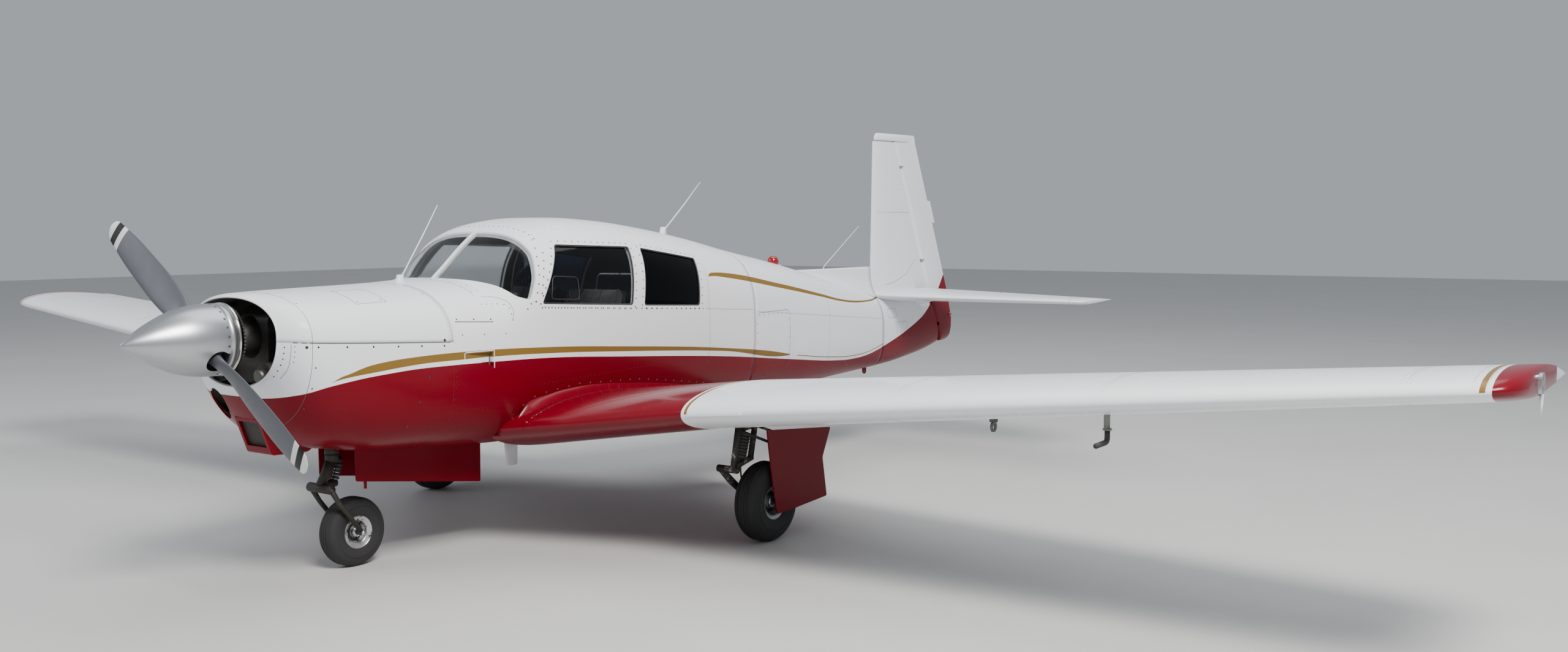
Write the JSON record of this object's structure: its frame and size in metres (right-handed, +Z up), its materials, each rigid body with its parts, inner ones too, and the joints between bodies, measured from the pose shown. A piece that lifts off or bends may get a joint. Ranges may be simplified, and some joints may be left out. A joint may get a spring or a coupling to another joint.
{
  "type": "light aircraft",
  "caption": "Low-wing single-engine propeller aircraft with retractable tricycle gear, enclosed cabin, side door and an upright, forward-raked-hinge tail.",
  "frame": {"origin": "middle of the overall box at ground level", "axes": "-Y to the nose, +X to the aircraft's left, +Z up"},
  "size_m": [10.67, 7.4, 2.462],
  "materials": {
    "white_paint": "gloss",
    "red_paint": "gloss",
    "cabin_trim": "matt",
    "seat_cover": "woven",
    "window_glass": "clear",
    "engine_metal": "satin",
    "polished_alloy": "polished",
    "blade_paint": "satin",
    "tyre_rubber": "matt",
    "gear_paint": "satin",
    "exhaust_steel": "heat stained"
  },
  "bodies": {
    "airframe": {"cowl_upper": "white_paint", "cowl_lower": "red_paint", "engine": "engine_metal", "cabin_shell": "white_paint", "windshield_left": "window_glass", "windshield_right": "window_glass", "window_front_left": "window_glass", "window_rear_left": "window_glass", "window_rear_right": "window_glass", "cabin_floor": "cabin_trim", "instrument_panel": "cabin_trim", "seat_front_left": "seat_cover", "seat_front_right": "seat_cover", "seat_rear": "seat_cover", "tail_cone": "white_paint", "wing_left": "white_paint", "wing_right": "white_paint", "wing_fillet_left": "red_paint", "wing_fillet_right": "red_paint", "gear_leg_left": "gear_paint", "gear_leg_right": "gear_paint", "gear_door_left": "red_paint", "gear_door_right": "red_paint", "nose_gear_trunnion": "gear_paint", "nose_gear_door_left": "red_paint", "nose_gear_door_right": "red_paint", "exhaust_pipe": "exhaust_steel", "boarding_step": "gear_paint"},
    "propeller": {"propeller": "blade_paint", "spinner": "polished_alloy"},
    "nose_fork": {"nose_gear_fork": "gear_paint"},
    "nose_wheel": {"nose_wheel_tyre": "tyre_rubber", "nose_wheel_hub": "gear_paint"},
    "main_wheel_left": {"main_wheel_left_tyre": "tyre_rubber", "main_wheel_left_hub": "gear_paint"},
    "main_wheel_right": {"main_wheel_right_tyre": "tyre_rubber", "main_wheel_right_hub": "gear_paint"},
    "cabin_door": {"cabin_door": "white_paint", "cabin_door_window": "window_glass"},
    "baggage_door": {"baggage_door": "white_paint"},
    "flap_left": {"flap_left": "white_paint"},
    "flap_right": {"flap_right": "white_paint"},
    "aileron_left": {"aileron_left": "white_paint"},
    "aileron_right": {"aileron_right": "white_paint"},
    "tail_unit": {"tail_body": "white_paint", "fin": "white_paint", "stabilizer": "white_paint"},
    "elevator_left": {"elevator_left": "white_paint"},
    "elevator_right": {"elevator_right": "white_paint"},
    "rudder": {"rudder": "white_paint"}
  },
  "joints": [
    {"name": "propeller_spin", "type": "hinge", "parent": "airframe", "child": "propeller", "pos_m": [0, -3.29, 1.227], "axis": [0, 1, 0], "continuous": true},
    {"name": "nose_steering", "type": "hinge", "parent": "airframe", "child": "nose_fork", "pos_m": [0, -2.59, 0.6], "axis": [0, 0, 1], "range_deg": [-13, 13]},
    {"name": "nose_wheel_spin", "type": "hinge", "parent": "nose_fork", "child": "nose_wheel", "pos_m": [0, -2.475, 0.18], "axis": [1, 0, 0], "continuous": true},
    {"name": "main_wheel_left_spin", "type": "hinge", "parent": "airframe", "child": "main_wheel_left", "pos_m": [1.385, -0.74, 0.222], "axis": [1, 0, 0], "continuous": true},
    {"name": "main_wheel_right_spin", "type": "hinge", "parent": "airframe", "child": "main_wheel_right", "pos_m": [-1.385, -0.74, 0.222], "axis": [1, 0, 0], "continuous": true},
    {"name": "cabin_door_hinge", "type": "hinge", "parent": "airframe", "child": "cabin_door", "pos_m": [-0.581, -1.688, 1.1], "axis": [0, 0, 1], "range_deg": [0, 80]},
    {"name": "baggage_door_hinge", "type": "hinge", "parent": "airframe", "child": "baggage_door", "pos_m": [-0.488, -0.11, 1.45], "axis": [0.1625, 0.9858, -0.0426], "range_deg": [0, 90]},
    {"name": "flap_left_hinge", "type": "hinge", "parent": "airframe", "child": "flap_left", "pos_m": [0.7, -0.20507, 0.6968], "axis": [-0.9858, 0.1328, -0.1032], "range_deg": [0, 33]},
    {"name": "flap_right_hinge", "type": "hinge", "parent": "airframe", "child": "flap_right", "pos_m": [-0.7, -0.20507, 0.6968], "axis": [-0.9858, -0.1328, 0.1032], "range_deg": [0, 33]},
    {"name": "aileron_left_hinge", "type": "hinge", "parent": "airframe", "child": "aileron_left", "pos_m": [3.303, -0.55562, 0.96933], "axis": [-0.9858, 0.1328, -0.1032], "range_deg": [-12, 12]},
    {"name": "aileron_right_hinge", "type": "hinge", "parent": "airframe", "child": "aileron_right", "pos_m": [-3.303, -0.55562, 0.96933], "axis": [-0.9858, -0.1328, 0.1032], "range_deg": [-12, 12]},
    {"name": "tail_trim", "type": "hinge", "parent": "airframe", "child": "tail_unit", "pos_m": [0, 2.43, 1.15], "axis": [1, 0, 0], "range_deg": [-1, 4]},
    {"name": "elevator_left_hinge", "type": "hinge", "parent": "tail_unit", "child": "elevator_left", "pos_m": [0.09, 3.08475, 1.195], "axis": [-0.9756, 0.2195, 0], "range_deg": [-22, 22]},
    {"name": "elevator_right_hinge", "type": "hinge", "parent": "tail_unit", "child": "elevator_right", "pos_m": [-0.09, 3.08475, 1.195], "axis": [-0.9756, -0.2195, 0], "range_deg": [-22, 22]},
    {"name": "rudder_hinge", "type": "hinge", "parent": "tail_unit", "child": "rudder", "pos_m": [0, 3.467, 0.8], "axis": [0, -0.3935, 0.9193], "range_deg": [-23, 23]}
  ],
  "couplings": [
    {"joint": "flap_right_hinge", "follows": "flap_left_hinge", "ratio": 1},
    {"joint": "aileron_right_hinge", "follows": "aileron_left_hinge", "ratio": -1},
    {"joint": "elevator_right_hinge", "follows": "elevator_left_hinge", "ratio": 1}
  ]
}
